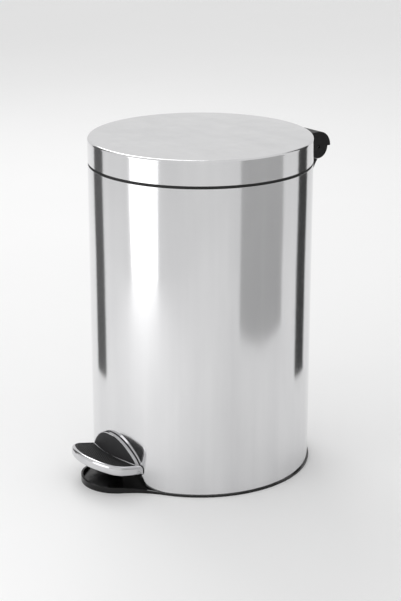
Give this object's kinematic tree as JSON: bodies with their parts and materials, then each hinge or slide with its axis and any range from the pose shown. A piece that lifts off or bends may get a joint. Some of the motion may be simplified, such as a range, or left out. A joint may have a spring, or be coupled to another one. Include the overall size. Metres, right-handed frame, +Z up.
{
  "type": "pedal bin",
  "caption": "Round stainless-steel pedal bin with a hinged flat lid, a foot pedal that lifts it through a rear push rod, and an inner bucket.",
  "frame": {"origin": "on the body's axis at the floor", "axes": "+X to the right for someone who faces the pedal, +Y back towards the hinge, +Z up"},
  "size_m": [0.2966, 0.3821, 0.445],
  "materials": {
    "polished_steel": "polished stainless sheet",
    "chrome": "bright chrome plate",
    "zinc_steel": "zinc-plated, satin",
    "black_gloss": "gloss",
    "black_satin": "satin",
    "tread_rubber": "textured",
    "guard_plastic": "smooth matt",
    "bucket_plastic": "matt"
  },
  "bodies": {
    "bin": {"body_shell": "polished_steel", "floor_pan": "zinc_steel", "pan_screws": "zinc_steel", "rod_bush": "guard_plastic", "rod_guide": "zinc_steel", "guide_rivets": "zinc_steel", "base_moulding": "black_gloss", "lever_axle": "zinc_steel", "axle_clips": "zinc_steel", "body_hinge_bracket": "black_satin", "hinge_backing_plate": "zinc_steel", "hinge_screws": "zinc_steel", "inner_bucket": "bucket_plastic"},
    "lid": {"lid_cover": "polished_steel", "lid_hinge_cap": "black_satin", "lid_lift_bracket": "zinc_steel", "lid_rivets": "zinc_steel", "hinge_pin": "zinc_steel"},
    "pedal": {"pedal_lever": "zinc_steel", "pedal_shell": "chrome", "tread_pad": "tread_rubber", "guard_pad": "guard_plastic", "pedal_screws": "zinc_steel"},
    "rod": {"push_rod": "zinc_steel", "rod_collars": "zinc_steel", "rod_clip": "zinc_steel"},
    "bail": {"bucket_bail": "zinc_steel"}
  },
  "joints": [
    {"name": "lid_hinge", "type": "hinge", "parent": "bin", "child": "lid", "pos_m": [0, 0.166, 0.4138], "axis": [-1, 0, 0], "range_deg": [0, 74]},
    {"name": "pedal_press", "type": "hinge", "parent": "bin", "child": "pedal", "pos_m": [0, -0.078, 0.02], "axis": [1, 0, 0], "range_deg": [0, 11.06]},
    {"name": "push_rod_slide", "type": "slide", "parent": "bin", "child": "rod", "axis": [0, 0, 1], "range_m": [0, 0.04221]},
    {"name": "bail_swing", "type": "hinge", "parent": "bin", "child": "bail", "pos_m": [0, 0, 0.4151], "axis": [-1, 0, 0], "range_deg": [0, 9]}
  ],
  "couplings": [
    {"joint": "pedal_press", "follows": "lid_hinge", "ratio": 0.14938},
    {"joint": "push_rod_slide", "follows": "lid_hinge", "m_per_rad": 0.032673}
  ]
}
